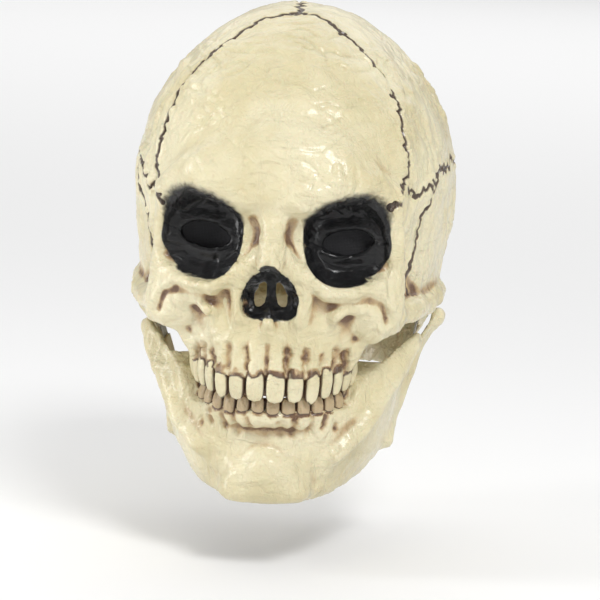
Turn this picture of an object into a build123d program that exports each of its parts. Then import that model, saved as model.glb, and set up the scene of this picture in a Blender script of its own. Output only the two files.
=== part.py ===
from build123d import *
import math
import os

# Overhead skull mask: a latex cranium casting and a latex jaw casting that swings on two elastic straps.
# The origin is midway between the wearer's ear canals, +Z is up, and the face looks along -Y. Millimetres.

# Driving dimensions
skin = 2.2  # wall of a slush-cast latex skin
rim_z = -30.0  # lower edge of the cranium casting at the sides, just under the wearer's ears
nape_rise_y, nape_y, nape_z = 12.0, 46.0, -62.0  # behind the ears the edge drops to cover the nape
nape_end_z = -74.0
brow_z = 46.0  # level where the head is longest and widest
crown_rise = 90.0  # from the brow level up to the crown
head_half_width = 84.0
head_front = -110.0
head_back = 104.0
clear_of_face = -130.0  # a depth ahead of everything on the face
widest_y = 12.0  # the head is broadest behind the ears
crown_y = 2.0

arch_half_width = 40.0  # dental arch of the upper jaw
arch_front = -113.0
arch_centre_y = -62.0
upper_teeth_z = -58.0  # biting edge of the upper teeth
upper_gum_z = -42.0
muzzle_back_y = -70.0  # where the upper jaw ends behind the last molars
cheek_radius, cheek_x, cheek_y, cheek_z = 17.0, 46.0, -82.0, -14.0
cheek_arch_radius = 6.5
tooth_count, last_tooth_angle = 14, 74.0
groove_width, groove_depth = 0.9, 1.3  # gaps moulded between the teeth

socket_x, socket_z = 36.0, 23.0
socket_radius = 21.0
socket_floor_y = -82.0
eye_slot_width, eye_slot_height, eye_slot_z = 28.0, 15.0, 21.0

nose_z = -4.0
nose_radius = 14.0
nose_floor_y = -103.0
nose_bridge_root_y = -100.0
nose_bridge_low = (6.0, 12.0, 5.0, -123.0)  # height, half width at the root and at the ridge, ridge depth
nose_bridge_high = (38.0, 9.0, 3.0, -111.0)
nostril_width, nostril_height, septum_width = 6.0, 15.0, 4.0
floor_reach = 10.0  # how far the eye and nostril cuts run past the floor they pierce, each way

hinge_y, hinge_z = 6.0, -26.0  # the jaw turns about this line, parallel to X
jaw_front = -103.0
jaw_half_width = 64.0
jaw_back_y = 16.0
chin_z = -114.0
lower_teeth_z = -59.5  # the upper teeth stop just above the lower ones
lower_gum_z = -66.0

strap_width, strap_thick = 16.0, 1.2
strap_y = -4.0  # middle of the strap, just ahead of the hinge line
strap_runs = ((74.3, -10.0), (69.3, -30.0), (67.8, -40.0), (65.0, -48.0), (62.4, -56.0))  # (x, z) on the left
patch_width, patch_thick = 20.0, 0.8
upper_patch_z = (-11.0, -23.0)
lower_patch_z = (-45.0, -48.0, -55.0)

mesh_thick = 0.6
glue_margin = 4.0  # how far the mesh overlaps the latex round an eye opening
chin_pad_width, chin_pad_depth, chin_pad_height = 40.0, 16.0, 20.0
chin_pad_low, chin_pad_back, chin_pad_corner = -104.0, -88.0, 5.0
slack = 0.4  # air between pieces that aren't bonded
sides = ((-1, "right"), (1, "left"))

RING_POINTS = 20
RING_POWER = 2.3  # 2 is an ellipse, more is squarer

os.makedirs("parts", exist_ok=True)


def ring_points(half_width, front, back, middle):
    """A closed egg-shaped outline, fuller than an ellipse, given by its half width and its front and back."""
    points = []
    for i in range(RING_POINTS):
        turn = 2 * math.pi * i / RING_POINTS
        along, across = math.cos(turn), math.sin(turn)
        reach = (middle - front) if along > 0 else (back - middle)
        x = half_width * math.copysign(abs(across) ** (2 / RING_POWER), across)
        y = middle - reach * math.copysign(abs(along) ** (2 / RING_POWER), along)
        points.append((x, y))
    return points


def ring_stack(levels):
    """A solid lofted through (height, half width, front, back, middle) outlines."""
    with BuildPart() as stack:
        for height, half_width, front, back, middle in levels:
            with BuildSketch(Plane.XY.offset(height)):
                with BuildLine():
                    Spline(*ring_points(half_width, front, back, middle), periodic=True)
                make_face()
        loft()
    return stack.part


def head_levels(inset):
    """Outlines of the head from below the nape to the crown, drawn in by inset."""
    levels = []
    for height in (nape_end_z - 12, nape_z, rim_z + 2, -8.0, 10.0, 28.0):
        drop = (brow_z - height) / (brow_z - rim_z)
        levels.append(
            (
                height,
                head_half_width - 11 * drop**2 - inset,
                head_front + 4 * drop + inset,
                head_back - 34 * min(drop, 1.0) ** 2 - inset,
                widest_y,
            )
        )
    for degrees in (0, 20, 38, 54, 67, 78):
        rise, spread = math.sin(math.radians(degrees)), math.cos(math.radians(degrees))
        levels.append(
            (
                brow_z + (crown_rise - inset) * rise,
                (head_half_width - inset) * spread,
                crown_y + (head_front - crown_y + inset) * spread,
                crown_y + (head_back - crown_y - inset) * spread,
                crown_y + (widest_y - crown_y) * spread,
            )
        )
    return levels


def head_form(inset):
    """The head as a solid, cut along its rim: level below the ears, then down and back to the nape."""
    with BuildPart() as form:
        add(ring_stack(head_levels(inset)))
        with BuildSketch(Plane.YZ):
            with BuildLine():
                Polyline(
                    (head_front - 20, rim_z),
                    (nape_rise_y, rim_z),
                    (nape_y, nape_z),
                    (head_back + 10, nape_end_z),
                    (head_back + 10, brow_z + crown_rise + 10),
                    (head_front - 20, brow_z + crown_rise + 10),
                    close=True,
                )
            make_face()
        extrude(amount=head_half_width + 10, both=True, mode=Mode.INTERSECT)
    return form.part


def muzzle_levels(inset):
    """Outlines of the upper jaw, from the cheeks down past the biting edge."""
    back = arch_centre_y + 14
    return [
        (-4.0, arch_half_width - 4 - inset, arch_front + 7 + inset, back, arch_centre_y),
        (rim_z, arch_half_width + 2 - inset, arch_front + 3 + inset, back, arch_centre_y),
        (upper_gum_z, arch_half_width + 1 - inset, arch_front + 1 + inset, back, arch_centre_y),
        (upper_teeth_z - 6, arch_half_width - inset, arch_front + inset, back, arch_centre_y),
    ]


def arch_band(outer, inner, low, high):
    """The part of a hollow dental arch in front of muzzle_back_y. outer and inner are half width and front."""
    with BuildPart() as band:
        with BuildSketch(Plane.XY.offset(low)):
            for (half_width, front), mode in ((outer, Mode.ADD), (inner, Mode.SUBTRACT)):
                with BuildLine(mode=Mode.PRIVATE) as outline:
                    Spline(
                        *ring_points(half_width, front, arch_centre_y + 20, arch_centre_y),
                        periodic=True,
                    )
                make_face(outline.edges(), mode=mode)
        extrude(amount=high - low)
        split(bisect_by=Plane.XZ.offset(-muzzle_back_y), keep=Keep.TOP)
    return band.part


def tooth_grooves(arch, low, high):
    """Thin upright bars that stand between neighbouring teeth, to be cut out of an arch."""
    half_width, front = arch
    reach = arch_centre_y - front
    with BuildPart() as grooves:
        for i in range(tooth_count - 1):
            turn = math.radians(last_tooth_angle * (2 * (i + 0.5) / (tooth_count - 1) - 1))
            x, y = half_width * math.sin(turn), arch_centre_y - reach * math.cos(turn)
            heading = math.degrees(math.atan2(math.sin(turn) / half_width, math.cos(turn) / reach))
            with Locations(Location((x, y, (low + high) / 2), (0, 0, heading))):
                Box(groove_width, groove_depth * 2, high - low)
    return grooves.part


def ball(radius, x, y, z):
    """A solid ball, for a lump on a casting."""
    with BuildPart() as lump:
        with Locations((x, y, z)):
            Sphere(radius)
    return lump.part


def drum(radius, x, z, front, back):
    """A round bar along Y between two depths."""
    with BuildPart() as bar:
        with BuildSketch(Plane.XZ.offset(-front)):
            with Locations((x, z)):
                Circle(radius)
        extrude(amount=front - back)
    return bar.part


def cheek_arch(side, radius):
    """The zygomatic arch: a bar from the cheekbone back to the ear, on one side."""
    with BuildPart() as arch:
        with BuildLine() as path:
            Spline(
                (side * 50, -84, -16),
                (side * 63, -60, -17),
                (side * 71, -30, -17),
                (side * 75, 4, -14),
            )
        with BuildSketch(Plane(origin=path.line @ 0, z_dir=path.line % 0)):
            Circle(radius)
        sweep()
    return arch.part


upper_arch = (arch_half_width + 1.5, arch_front - 1.5)
upper_arch_inside = (arch_half_width - skin, arch_front + skin)
lower_arch = (arch_half_width - 3, arch_front + 5)
lower_arch_inside = (arch_half_width - 7, arch_front + 9.5)

# The upper jaw, a half horseshoe below the nose.
with BuildPart() as muzzle:
    add(ring_stack(muzzle_levels(0)))
    split(bisect_by=Plane.XY.offset(upper_teeth_z), keep=Keep.TOP)
    split(bisect_by=Plane.XZ.offset(-muzzle_back_y), keep=Keep.TOP)

# The outer face of the cranium casting: head, upper jaw, cheekbones and nose bridge.
with BuildPart() as outside:
    add(head_form(0))
    add(muzzle.part)
    for side in (-1, 1):
        add(ball(cheek_radius, side * cheek_x, cheek_y, cheek_z))
        add(cheek_arch(side, cheek_arch_radius))
    for height, root_half, ridge_half, ridge_y in (nose_bridge_low, nose_bridge_high):
        with BuildSketch(Plane.XY.offset(height)):
            with BuildLine():
                Polyline(
                    (-root_half, nose_bridge_root_y),
                    (-ridge_half, ridge_y),
                    (ridge_half, ridge_y),
                    (root_half, nose_bridge_root_y),
                    close=True,
                )
            make_face()
    loft()

# The cranium casting: one skin that follows that face, open below for the wearer's head.
with BuildPart() as cranium_shell:
    add(outside.part)
    add(head_form(skin), mode=Mode.SUBTRACT)
    add(ring_stack(muzzle_levels(skin)), mode=Mode.SUBTRACT)
    for side in (-1, 1):
        add(ball(cheek_radius - skin, side * cheek_x, cheek_y, cheek_z), mode=Mode.SUBTRACT)
    add(arch_band(upper_arch, upper_arch_inside, upper_teeth_z, upper_gum_z))
    add(tooth_grooves(upper_arch, upper_teeth_z - 1, upper_gum_z + 1), mode=Mode.SUBTRACT)
    # Eye sockets and nose: cups that reach in from the face, each with its wall and floor.
    for side in (-1, 1):
        cup = drum(socket_radius + skin, side * socket_x, socket_z, clear_of_face, socket_floor_y)
        add(cup & outside.part)
        add(
            drum(socket_radius, side * socket_x, socket_z, clear_of_face, socket_floor_y - skin),
            mode=Mode.SUBTRACT,
        )
        with BuildSketch(Plane.XZ.offset(-socket_floor_y - floor_reach)):
            with Locations((side * socket_x, eye_slot_z)):
                Ellipse(eye_slot_width / 2, eye_slot_height / 2)
        extrude(amount=2 * floor_reach, mode=Mode.SUBTRACT)
    add(drum(nose_radius + skin, 0, nose_z, clear_of_face, nose_floor_y + skin) & outside.part)
    add(drum(nose_radius, 0, nose_z, clear_of_face, nose_floor_y), mode=Mode.SUBTRACT)
    with BuildSketch(Plane.XZ.offset(-nose_floor_y - floor_reach)):
        for side in (-1, 1):
            with Locations((side * (septum_width + nostril_width) / 2, nose_z - 1)):
                Ellipse(nostril_width / 2, nostril_height / 2)
    extrude(amount=2 * floor_reach, mode=Mode.SUBTRACT)
cranium_shell.part.label = "cranium_shell"
export_step(cranium_shell.part, "parts/cranium_shell.step")


def jaw_levels(inset):
    """Outlines of the jaw from below the chin up past the hinge, narrow at the chin and wide at the ears."""
    levels = []
    for height, half_width, front in (
        (-122, jaw_half_width - 28, jaw_front + 12),
        (-108, jaw_half_width - 14, jaw_front + 3),
        (-92, jaw_half_width - 4, jaw_front + 1),
        (lower_gum_z, jaw_half_width + 1, jaw_front),
        (-44, jaw_half_width + 7, jaw_front),
        (rim_z, jaw_half_width + 14.5, jaw_front),
        (-18, jaw_half_width + 18, jaw_front),
    ):
        levels.append((height, half_width - inset, front + inset, 60 - inset, jaw_back_y))
    return levels


def jaw_side_view():
    """A bar along X with the outline of the jaw seen from the side."""
    with BuildPart() as bar:
        with BuildSketch(Plane.YZ):
            with BuildLine():
                Polyline(
                    (jaw_front - 20, chin_z),  # base line from the chin to the angle
                    (-74, chin_z + 3),
                    (-40, -104),
                    (-20, -95),
                    (-8, -82),
                    (jaw_back_y - 6, -44),  # back edge, up to the hinge head
                    (jaw_back_y - 2, -32),
                    (hinge_y + 5, -24),
                    (hinge_y - 2, -24),
                    (-10, -38),  # notch
                    (-22, -41),
                    (-32, -32),  # coronoid tip and the front edge down to the teeth
                    (-45, -31),
                    (-60, -34),
                    (-72, -44),
                    (-79, -56),
                    (-80, lower_gum_z),  # tooth bed
                    (jaw_front - 20, lower_gum_z),
                    close=True,
                )
            make_face()
        extrude(amount=jaw_half_width * 2, both=True)
    return bar.part


def tooth_bed():
    """The shelf that carries the lower teeth, from the jaw wall in to the dental arch."""
    half_width, front, back, middle = jaw_levels(skin / 2)[3][1:]
    with BuildPart() as shelf:
        with BuildSketch(Plane.XY.offset(lower_gum_z - skin)):
            with BuildLine():
                Spline(*ring_points(half_width, front, back, middle), periodic=True)
            make_face()
            with BuildLine():
                Spline(*ring_points(*lower_arch_inside, arch_centre_y + 20, arch_centre_y), periodic=True)
            make_face(mode=Mode.SUBTRACT)
        extrude(amount=skin)
        split(bisect_by=Plane.XZ.offset(-muzzle_back_y), keep=Keep.TOP)
    return shelf.part


# The jaw casting: a hollow horseshoe with a tooth bed, open below and behind for the chin and neck.
with BuildPart() as jaw_shell:
    add(ring_stack(jaw_levels(0)))
    add(jaw_side_view(), mode=Mode.INTERSECT)
    add(ring_stack(jaw_levels(skin)), mode=Mode.SUBTRACT)
    add(tooth_bed())
    add(arch_band(lower_arch, lower_arch_inside, lower_gum_z - skin / 2, lower_teeth_z))
    add(tooth_grooves(lower_arch, lower_gum_z + 1, lower_teeth_z + 1), mode=Mode.SUBTRACT)
jaw_shell.part.label = "jaw_shell"
export_step(jaw_shell.part, "parts/jaw_shell.step")


# Black mesh glued behind each eye opening.
for side, name in sides:
    with BuildPart() as eye_mesh:
        with BuildSketch(Plane.XZ.offset(-socket_floor_y)):
            with Locations((side * socket_x, eye_slot_z)):
                Ellipse(eye_slot_width / 2 + glue_margin, eye_slot_height / 2 + glue_margin)
        extrude(amount=-mesh_thick)
    eye_mesh.part.label = f"eye_mesh_{name}"
    export_step(eye_mesh.part, f"parts/eye_mesh_{name}.step")


def strap_x(z):
    """Distance out to the strap's outer face at a height, on its straight runs."""
    for (x_above, z_above), (x_below, z_below) in zip(strap_runs, strap_runs[1:]):
        if z_below <= z <= z_above:
            return x_below + (x_above - x_below) * (z - z_below) / (z_above - z_below)


def side_band(side, points, width, thickness):
    """A flat band that follows (x, z) points down the inside of one wall, its outer face on them."""
    with BuildPart() as band:
        with BuildSketch(Plane.XZ.offset(-strap_y - width / 2)):
            with BuildLine():
                outer_face = [(side * x, z) for x, z in points]
                inner_face = [(side * (x - thickness), z) for x, z in reversed(points)]
                Polyline(*outer_face, *inner_face, close=True)
            make_face()
        extrude(amount=width)
    return band.part


# An elastic strap down the inside of each wall joins the castings and is the jaw's hinge.
# A latex patch is glued over each end of it.
for side, name in sides:
    with BuildPart() as hinge_strap:
        add(side_band(side, strap_runs, strap_width, strap_thick))
    hinge_strap.part.label = f"hinge_strap_{name}"
    export_step(hinge_strap.part, f"parts/hinge_strap_{name}.step")
    for place, heights in (("upper", upper_patch_z), ("lower", lower_patch_z)):
        with BuildPart() as strap_patch:
            face = [(strap_x(z) - strap_thick - slack, z) for z in heights]
            add(side_band(side, face, patch_width, patch_thick))
        strap_patch.part.label = f"strap_patch_{place}_{name}"
        export_step(strap_patch.part, f"parts/strap_patch_{place}_{name}.step")

# A foam pad fills the hollow of the chin, where it sits on the wearer's own.
with BuildPart() as chin_pad:
    with BuildSketch(Plane.XY.offset(chin_pad_low)):
        with Locations((0, chin_pad_back - chin_pad_depth / 2)):
            RectangleRounded(chin_pad_width, chin_pad_depth, chin_pad_corner)
    extrude(amount=chin_pad_height)
    add(ring_stack(jaw_levels(skin + slack)), mode=Mode.INTERSECT)
chin_pad.part.label = "chin_pad"
export_step(chin_pad.part, "parts/chin_pad.step")
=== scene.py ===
# %% [markdown]
# This lesson rebuilds an overhead skull mask. The real one is two thin latex castings: a cranium that
# covers the whole head, and a lower jaw that hangs on elastic straps inside the cheeks. The latex is
# cream, wrinkled and glossy, brown wash sits in its hollows, and the sockets and nose are painted black.

# %% Load the frame
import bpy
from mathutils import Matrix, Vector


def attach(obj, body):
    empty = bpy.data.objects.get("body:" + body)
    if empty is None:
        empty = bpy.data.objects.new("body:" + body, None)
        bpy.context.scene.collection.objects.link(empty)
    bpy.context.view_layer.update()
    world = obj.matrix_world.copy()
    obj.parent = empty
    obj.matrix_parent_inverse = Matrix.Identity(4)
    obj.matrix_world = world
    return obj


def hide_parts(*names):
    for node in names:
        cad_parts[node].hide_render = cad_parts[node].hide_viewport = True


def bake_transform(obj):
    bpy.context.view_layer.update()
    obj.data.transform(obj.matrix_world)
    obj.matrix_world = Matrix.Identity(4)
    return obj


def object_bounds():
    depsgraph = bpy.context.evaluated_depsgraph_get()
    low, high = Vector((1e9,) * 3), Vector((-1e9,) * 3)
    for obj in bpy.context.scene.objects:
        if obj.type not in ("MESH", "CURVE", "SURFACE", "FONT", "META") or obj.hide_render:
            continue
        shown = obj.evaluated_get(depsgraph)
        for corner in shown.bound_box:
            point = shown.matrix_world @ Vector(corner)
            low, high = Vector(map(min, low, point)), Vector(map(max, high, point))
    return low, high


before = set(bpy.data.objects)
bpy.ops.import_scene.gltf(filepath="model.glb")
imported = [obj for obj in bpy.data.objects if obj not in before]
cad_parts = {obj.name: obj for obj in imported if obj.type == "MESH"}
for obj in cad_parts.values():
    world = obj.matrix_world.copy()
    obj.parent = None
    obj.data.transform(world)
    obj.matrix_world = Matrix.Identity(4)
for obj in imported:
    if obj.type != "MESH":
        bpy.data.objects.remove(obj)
cad_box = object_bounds()

# %% Tools used below
import bmesh
import bpy
import math
import numpy as np
import openvdb
from mathutils import Euler, Vector, noise
from mathutils.bvhtree import BVHTree
from mathutils.kdtree import KDTree

MM = 0.001

# %% [markdown]
# A slush-cast skin has no flat faces and no sharp corners, so it is modelled as a sculptor works in
# clay: lumps are added and hollows are pressed in, and each one melts into the last. The clay is a grid
# of distances to the surface, negative inside. Adding is a soft minimum of two distances, and pressing a
# hollow is a soft maximum. Only the half with x >= 0 is kept, because the sculpture is symmetric.

# %% The clay
class Clay:
    """A solid held as distances to its surface on a grid of points, in millimetres."""

    def __init__(self, low, high, grain):
        self.grain, self.low = grain, low
        axes = [np.arange(a, b, grain, dtype=np.float32) for a, b in zip(low, high)]
        self.x, self.y, self.z = np.meshgrid(*axes, indexing="ij", sparse=True)
        self.depth = np.full([len(axis) for axis in axes], 60.0, dtype=np.float32)

    def window(self, low, high, margin):
        """The part of the grid near a shape."""
        parts = []
        for axis in range(3):
            first = int((low[axis] - margin - self.low[axis]) / self.grain)
            last = int((high[axis] + margin - self.low[axis]) / self.grain) + 2
            parts.append(slice(max(first, 0), max(last, 0)))
        i, j, k = parts
        return (i, j, k), self.x[i], self.y[:, j], self.z[:, :, k]

    def add(self, shape, blend=3.0):
        """Press a lump on, melting it in over a width of blend."""
        low, high, distance = shape
        part, x, y, z = self.window(low, high, 2 * blend + 6)
        mine, other = self.depth[part], distance(x, y, z)
        mix = np.clip(0.5 + 0.5 * (other - mine) / blend, 0, 1)
        self.depth[part] = other * (1 - mix) + mine * mix - blend * mix * (1 - mix)

    def cut(self, shape, blend=3.0):
        """Press a hollow in, rounding its edge over a width of blend."""
        low, high, distance = shape
        part, x, y, z = self.window(low, high, 2 * blend + 6)
        mine, other = self.depth[part], -distance(x, y, z)
        mix = np.clip(0.5 - 0.5 * (other - mine) / blend, 0, 1)
        self.depth[part] = other * (1 - mix) + mine * mix + blend * mix * (1 - mix)


def egg(centre, radii, lean=(0, 0, 0), fullness=2.0):
    """An ellipsoid, leaned by angles in degrees. Fullness over 2 squares it off."""
    rows = np.array(Euler([math.radians(angle) for angle in lean]).to_matrix()).T
    reach = max(radii)

    def distance(x, y, z):
        offsets = x - centre[0], y - centre[1], z - centre[2]
        parts = [abs(sum(r * o for r, o in zip(row, offsets))) / radius for row, radius in zip(rows, radii)]
        size = np.maximum(sum(p ** fullness for p in parts), 1e-6) ** (1 / fullness)
        slope = sum((p ** (fullness - 1) / radius) ** 2 for p, radius in zip(parts, radii)) ** 0.5
        return (size - 1) / np.maximum(slope * size ** (1 - fullness), 1e-4)

    return [c - reach for c in centre], [c + reach for c in centre], distance


def limb(points, radii):
    """A round bar through a few points, with a radius at each one."""
    reach = max(radii)

    def distance(x, y, z):
        best = None
        for a, b, ra, rb in zip(points, points[1:], radii, radii[1:]):
            run = [q - p for p, q in zip(a, b)]
            along = (x - a[0]) * run[0] + (y - a[1]) * run[1] + (z - a[2]) * run[2]
            along = np.clip(along / sum(r * r for r in run), 0, 1)
            gap = sum((c - p - r * along) ** 2 for c, p, r in zip((x, y, z), a, run)) ** 0.5
            gap = gap - (ra + (rb - ra) * along)
            best = gap if best is None else np.minimum(best, gap)
        return best

    low = [min(p[i] for p in points) - reach for i in range(3)]
    high = [max(p[i] for p in points) + reach for i in range(3)]
    return low, high, distance


EVERYWHERE = ((-200, -200, -200), (200, 200, 200))


def ring_distance(x, y, half_width, front, back, middle, power=2.3):
    """How far a point is outside an egg-shaped outline, measured from the outline's middle."""
    reach = np.where(y < middle, middle - front, back - middle)
    size = (abs(x / half_width) ** power + abs((y - middle) / reach) ** power) ** (1 / power)
    return size

# %% [markdown]
# The head's own form comes first. Below the brow it is a stack of egg-shaped outlines that narrow to the
# rim, and above it a dome. The same function, drawn in by the skin's thickness, later gives the hollow
# inside, as the plaster mould gives a real casting its even wall.

# %% The head and jaw forms
SKIN = 2.2
RIM_Z, BROW_Z = -30.0, 46.0


def head_form(inset):
    """The bare head, drawn in by inset, without a face."""

    def distance(x, y, z):
        drop = np.clip((BROW_Z - z) / (BROW_Z - RIM_Z), 0, 1.8)
        rise = np.clip((z - BROW_Z) / (90 - inset), 0, 1.2)
        spread = np.sqrt(np.maximum(1 - rise ** 1.8, 1e-4))
        half_width = (84 - 11 * drop ** 2 - inset) * (1 - 0.07 * np.minimum(rise, 1) ** 2)
        front = -110 + 4 * drop + inset
        back = 104 - 34 * np.minimum(drop, 1) ** 2 - inset
        middle = np.where(z > BROW_Z, 2 + 10 * spread, 12)
        front = np.where(z > BROW_Z, middle - (12 - front), front)
        back = np.where(z > BROW_Z, middle + (back - 12), back)
        flat = ring_distance(x, y, half_width, front, back, middle)
        size = np.sqrt(flat ** 2 + rise ** 1.8)
        reach = np.sqrt(x ** 2 + (y - middle) ** 2 + np.maximum(z - BROW_Z, 0) ** 2)
        return reach * (1 - 1 / np.maximum(size, 1e-3))

    return *EVERYWHERE, distance


ARCH_HALF_WIDTH, ARCH_FRONT, ARCH_MIDDLE = 40.0, -113.0, -62.0
GUM_Z = -43.0


def muzzle_form(inset, low=-64.0):
    """The upper jaw: a horseshoe column from the cheeks down to the gum."""

    def distance(x, y, z):
        half_width = np.interp(z, [-44, -30, -4], [41, 42, 36]) - inset
        front = np.interp(z, [-44, -30, -4], [-113.5, -110.5, -106]) + inset
        size = ring_distance(x, y, half_width, front, -48.0 - inset, ARCH_MIDDLE)
        reach = np.sqrt(x ** 2 + (y - ARCH_MIDDLE) ** 2)
        side = reach * (1 - 1 / np.maximum(size, 1e-3))
        return np.maximum(np.maximum(side, low - z), np.maximum(z + 4, y + 64))

    return (0, -125, low), (60, -55, 0), distance


JAW_FRONT, JAW_MIDDLE, CHIN_Z, BED_Z = -103.0, 16.0, -114.0, -66.0


def jaw_form(inset):
    """The lower jaw's outline at each height, narrow at the chin and wide at the ears."""

    def distance(x, y, z):
        heights = [-122, -108, -92, -66, -44, -30, -18]
        half_width = np.interp(z, heights, [35, 48, 58.5, 64, 70, 78, 81]) - inset
        front = np.interp(z, heights, [-92, -100, -102, -103, -103, -103, -103]) + inset
        size = ring_distance(x, y, half_width, front, 60.0 - inset, JAW_MIDDLE)
        reach = np.sqrt(x ** 2 + (y - JAW_MIDDLE) ** 2)
        return reach * (1 - 1 / np.maximum(size, 1e-3))

    return *EVERYWHERE, distance


def slab(low=None, high=None, axis=2):
    """Everything between two levels along one axis."""

    def distance(x, y, z):
        level = (x, y, z)[axis] + 0 * (x + y + z)
        gaps = []
        if low is not None:
            gaps.append(low - level)
        if high is not None:
            gaps.append(level - high)
        return np.maximum.reduce(gaps)

    return *EVERYWHERE, distance


# %% [markdown]
# The teeth stand on an arch. Working their places out once lets the gum, the root ridges over each tooth
# and the crowns themselves all agree.

# %% Where the teeth stand
def tooth_places(half_width, front, widths):
    """x, y, heading and width of each tooth on the left half of an arch, from the midline back."""
    places, turn = [], 0.0
    reach = ARCH_MIDDLE - front
    for width in widths:
        step = width / math.hypot(half_width * math.cos(turn), reach * math.sin(turn))
        mid = turn + step / 2
        x, y = half_width * math.sin(mid), ARCH_MIDDLE - reach * math.cos(mid)
        heading = math.atan2(math.sin(mid) / half_width, math.cos(mid) / reach)
        places.append((x, y, heading, width))
        turn += step
    return places


UPPER_TEETH = tooth_places(ARCH_HALF_WIDTH + 0.5, ARCH_FRONT - 0.3, (10.0, 9.4, 9.0, 8.2, 8.0, 9.2, 8.4))
LOWER_TEETH = tooth_places(ARCH_HALF_WIDTH - 3, ARCH_FRONT + 5.5, (7.4, 7.6, 8.0, 8.0, 8.2, 9.0, 8.6))
print("upper arch ends at x, y", [round(v, 1) for v in UPPER_TEETH[-1][:2]])

# %% [markdown]
# Now the face. The order matters: the sockets are pressed in before the brow goes on, so that the brow
# overhangs them and gives them their slanted upper edge.

# %% Sculpt the cranium
GRAIN = 1.15
SOCKET = (36.5, -101.0, 22.5)
SOCKET_RADII = (21, 16.5, 21)


RIM_SIDE = [(-140, RIM_Z), (12, RIM_Z), (46, -62), (120, -74), (120, 160), (-140, 160)]


def polygon_distance(corners, grow=0.0):
    """How far each point of the y-z plane is outside a polygon, as a shape that runs along x."""

    def distance(x, y, z):
        y, z = np.broadcast_arrays(y[0], z[0])
        nearest, inside = np.full(y.shape, 1e6, dtype=np.float32), np.zeros(y.shape, dtype=bool)
        for (y0, z0), (y1, z1) in zip(corners, corners[1:] + corners[:1]):
            run_y, run_z = y1 - y0, z1 - z0
            along = ((y - y0) * run_y + (z - z0) * run_z) / (run_y ** 2 + run_z ** 2)
            along = np.clip(along, 0, 1)
            nearest = np.minimum(nearest, (y - y0 - run_y * along) ** 2 + (z - z0 - run_z * along) ** 2)
            if z0 != z1:
                inside ^= ((z0 > z) != (z1 > z)) & (y < y0 + (z - z0) * run_y / run_z)
        flat = np.where(inside, -1, 1) * np.sqrt(nearest) - grow
        return flat[None] + 0 * x

    return *EVERYWHERE, distance


def outside_of(shape):
    """Everything that a shape is not."""
    low, high, distance = shape
    return *EVERYWHERE, lambda x, y, z: -distance(x, y, z)


def root_limbs(teeth, gum, rise, widen, recede, sink):
    """Round ridges over the roots of one arch's teeth, and a line up between each two."""
    ridges, lines = [], []
    for x, y, heading, width in teeth:
        inward_x, inward_y = -math.sin(heading), math.cos(heading)
        foot = (x + inward_x * sink, y + inward_y * sink, gum)
        top_x, top_y = x * widen, ARCH_MIDDLE + (y - ARCH_MIDDLE) * recede
        top = (top_x + inward_x * (sink + 0.5), top_y + inward_y * (sink + 0.5), gum + rise)
        ridges.append(limb([foot, top], (width * 0.46, width * 0.38)))
        edge_x, edge_y = x + math.cos(heading) * width / 2, y + math.sin(heading) * width / 2
        length = rise * (0.62 + 0.2 * math.sin(7 * x))
        share = length / rise
        edge_top_x, edge_top_y = edge_x * widen, ARCH_MIDDLE + (edge_y - ARCH_MIDDLE) * recede
        high = (edge_x + (edge_top_x - edge_x) * share, edge_y + (edge_top_y - edge_y) * share, gum + length)
        lines.append([(edge_x, edge_y, gum), high])
    return ridges, lines


UPPER_ROOTS, UPPER_LINES = root_limbs(UPPER_TEETH, GUM_Z, 20, 1.03, 0.92, 1.7)
LOWER_LINES = root_limbs(LOWER_TEETH, -66.0, -14, 1.02, 1.0, 4.2)[1]


CHEEK_OPENING = egg((62, -64, -48), (28, 44, 32), fullness=3)
SOCKET_EGG = egg(SOCKET, SOCKET_RADII, (0, -10, 4), fullness=2.5)
SOCKET_DEEP = egg((37.5, -98, 22), (19.5, 26, 18.5), (0, -10, 0), fullness=2.5)
EYE_HOLE = egg((35.5, -84, 21), (12.5, 20, 5.8), (0, -8, 0))
NOSE_CUTS = [
    limb([(0, -126, 4), (0, -111, 0)], (7.5, 7)),
    limb([(6.2, -123, -6), (6.4, -110, -7)], (7.6, 7.4)),
    limb([(8, -123, -10.5), (8, -109, -11)], (5.6, 5.2)),
]
NOSTRIL = egg((5.2, -106, -5), (2.3, 12, 6.6), (0, -14, 0))


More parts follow.
